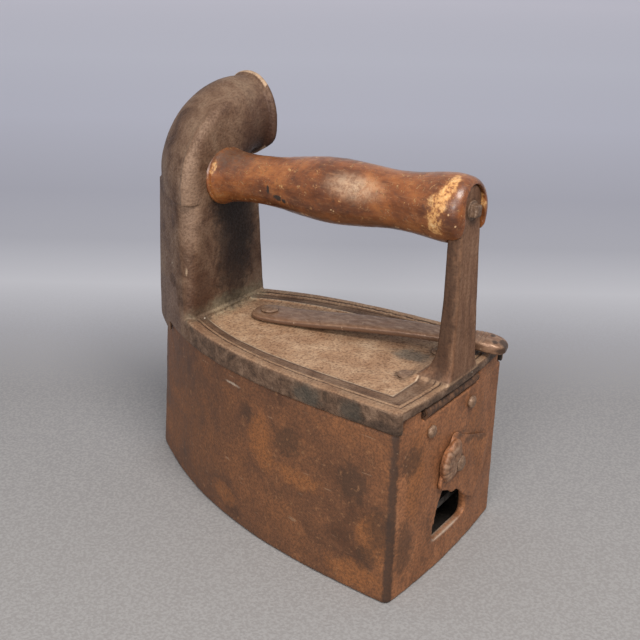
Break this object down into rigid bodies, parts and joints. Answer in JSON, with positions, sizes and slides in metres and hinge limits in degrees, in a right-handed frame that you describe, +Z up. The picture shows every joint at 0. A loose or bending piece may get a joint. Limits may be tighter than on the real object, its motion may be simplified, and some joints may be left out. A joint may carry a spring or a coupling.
{
  "type": "charcoal flat iron",
  "caption": "Cast-iron charcoal flat iron with a hinged lid, side-mouthed chimney over the nose, turned wooden grip, thumb latch lever and a swinging draught flap.",
  "frame": {"origin": "on the underside of the sole, on the symmetry plane of the body, 80 mm in front of the heel's corners", "axes": "+Z up, +Y towards the nose, +X to the iron's right, the side the chimney's mouth faces"},
  "size_m": [0.105, 0.2013, 0.2214],
  "materials": {
    "body_iron": "smooth worn cast iron, brown rust with orange patches",
    "lid_iron": "coarse sand-cast iron, brown-grey with dusty high spots",
    "sooty_iron": "soot-blackened iron",
    "rivet_iron": "hammered wrought iron, worn paler",
    "lever_iron": "forged iron rubbed smooth by the thumb",
    "grip_wood": "turned hardwood, old dark varnish worn to golden bare wood"
  },
  "bodies": {
    "body": {"body_casting": "body_iron", "fire_grate": "sooty_iron", "hinge_body_leaf": "sooty_iron", "hinge_pin": "rivet_iron", "heel_rivet_left": "rivet_iron", "heel_rivet_right": "rivet_iron", "damper_rivet": "rivet_iron", "damper_washer": "sooty_iron"},
    "lid": {"lid_plate": "lid_iron", "chimney": "lid_iron", "rear_post": "lid_iron", "wooden_grip": "grip_wood", "handle_bolt": "rivet_iron", "hinge_lid_leaf": "sooty_iron", "lid_rivet_left": "rivet_iron", "lid_rivet_right": "rivet_iron"},
    "damper": {"damper_flap": "body_iron"},
    "latch": {"latch_lever": "lever_iron", "latch_pivot": "rivet_iron", "latch_hook": "sooty_iron", "latch_washer": "sooty_iron"}
  },
  "joints": [
    {"name": "lid_hinge", "type": "hinge", "parent": "body", "child": "lid", "pos_m": [-0.006, -0.0805, 0.0932], "axis": [1, 0, 0], "range_deg": [0, 95]},
    {"name": "lever_swing", "type": "hinge", "parent": "lid", "child": "latch", "pos_m": [0.005, 0.0355, 0.1], "axis": [0, 0, 1], "range_deg": [0, 20]},
    {"name": "damper_swing", "type": "hinge", "parent": "body", "child": "damper", "pos_m": [0, -0.0835, 0.055], "axis": [0, -1, 0], "range_deg": [-62, 12]}
  ]
}
